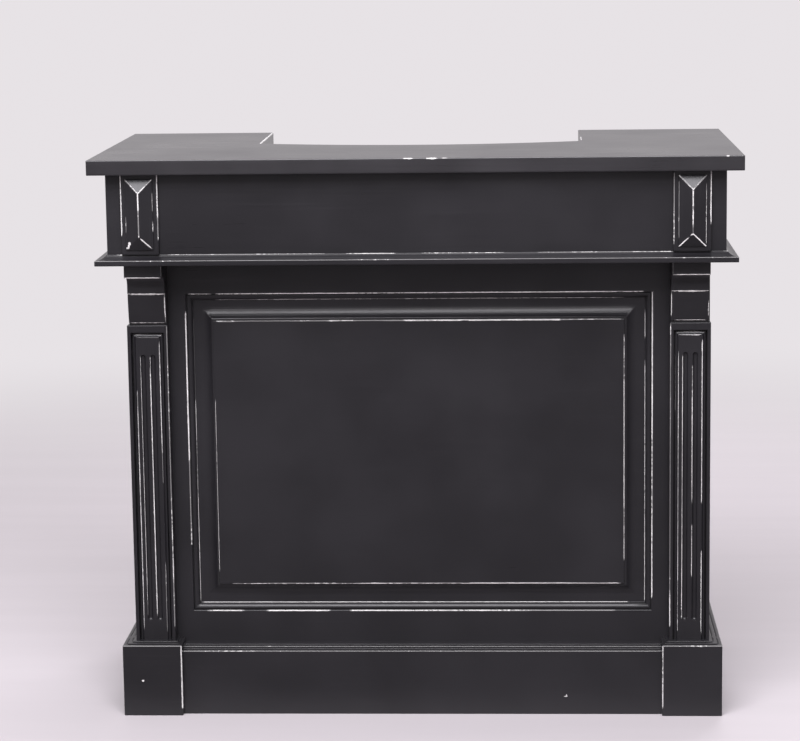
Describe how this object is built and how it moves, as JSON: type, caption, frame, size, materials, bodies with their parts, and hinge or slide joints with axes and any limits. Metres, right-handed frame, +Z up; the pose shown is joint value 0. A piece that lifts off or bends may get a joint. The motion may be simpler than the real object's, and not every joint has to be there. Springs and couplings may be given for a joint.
{
  "type": "bar counter cabinet",
  "caption": "Bar counter with a panelled front, fluted pilasters on corbels, a belt moulding, a moulded plinth and a U-shaped top over drawers, cupboards and bottle shelves.",
  "frame": {"origin": "on the floor, under the middle of the countertop's bounding box", "axes": "+X to the right as a customer sees the front, +Y from the customer to the server, +Z up"},
  "size_m": [1.25, 0.6, 1.118],
  "materials": {
    "top_paint": "satin black paint, a little glossier than the body, chipped at the front edge",
    "worn_paint": "satin black paint over a white undercoat, rubbed through in thin lines on the arrises",
    "inside_paint": "satin black paint",
    "bare_wood": "clear matt oil",
    "brass": "aged, satin",
    "steel": "satin"
  },
  "bodies": {
    "cabinet": {"countertop": "top_paint", "frieze_front": "worn_paint", "frieze_sides": "worn_paint", "plaques": "worn_paint", "pyramid_blocks": "worn_paint", "belt_front": "worn_paint", "belt_sides": "worn_paint", "soffit": "worn_paint", "corbel_left": "worn_paint", "corbel_right": "worn_paint", "pilaster_left": "worn_paint", "pilaster_right": "worn_paint", "fluted_panel_left": "worn_paint", "fluted_panel_right": "worn_paint", "stile_left": "worn_paint", "stile_right": "worn_paint", "rail_top": "worn_paint", "rail_bottom": "worn_paint", "panel_moulding": "worn_paint", "raised_panel": "worn_paint", "plinth_board": "worn_paint", "plinth_blocks": "worn_paint", "plinth_sides": "worn_paint", "side_left": "worn_paint", "side_right": "worn_paint", "partition_left": "inside_paint", "partition_right": "inside_paint", "wing_floors": "inside_paint", "dividers": "inside_paint", "kick_boards": "inside_paint", "bay_floor": "inside_paint", "bar_shelf_low": "inside_paint", "bar_shelf_high": "inside_paint", "shelf_cleats": "inside_paint", "gallery_rails": "worn_paint", "top_cleat": "inside_paint", "cupboard_shelves": "inside_paint", "shelf_pins": "brass", "door_catches": "steel", "drawer_stops": "bare_wood", "hinge_posts": "brass"},
    "drawer_left": {"drawer_box_left": "bare_wood", "drawer_bottom_left": "bare_wood", "drawer_front_left": "worn_paint", "drawer_knob_left": "brass"},
    "door_left": {"door_stiles_left": "worn_paint", "door_rails_left": "worn_paint", "door_panel_left": "worn_paint", "door_knob_left": "brass", "hinge_leaves_left": "brass"},
    "drawer_right": {"drawer_box_right": "bare_wood", "drawer_bottom_right": "bare_wood", "drawer_front_right": "worn_paint", "drawer_knob_right": "brass"},
    "door_right": {"door_stiles_right": "worn_paint", "door_rails_right": "worn_paint", "door_panel_right": "worn_paint", "door_knob_right": "brass", "hinge_leaves_right": "brass"}
  },
  "joints": [
    {"name": "drawer_left_slide", "type": "slide", "parent": "cabinet", "child": "drawer_left", "axis": [0, 1, 0], "range_m": [0, 0.3]},
    {"name": "door_left_hinge", "type": "hinge", "parent": "cabinet", "child": "door_left", "pos_m": [-0.55125, 0.273, 0.5315], "axis": [0, 0, 1], "range_deg": [0, 110]},
    {"name": "drawer_right_slide", "type": "slide", "parent": "cabinet", "child": "drawer_right", "axis": [0, 1, 0], "range_m": [0, 0.3]},
    {"name": "door_right_hinge", "type": "hinge", "parent": "cabinet", "child": "door_right", "pos_m": [0.55125, 0.273, 0.5315], "axis": [0, 0, -1], "range_deg": [0, 110]}
  ]
}
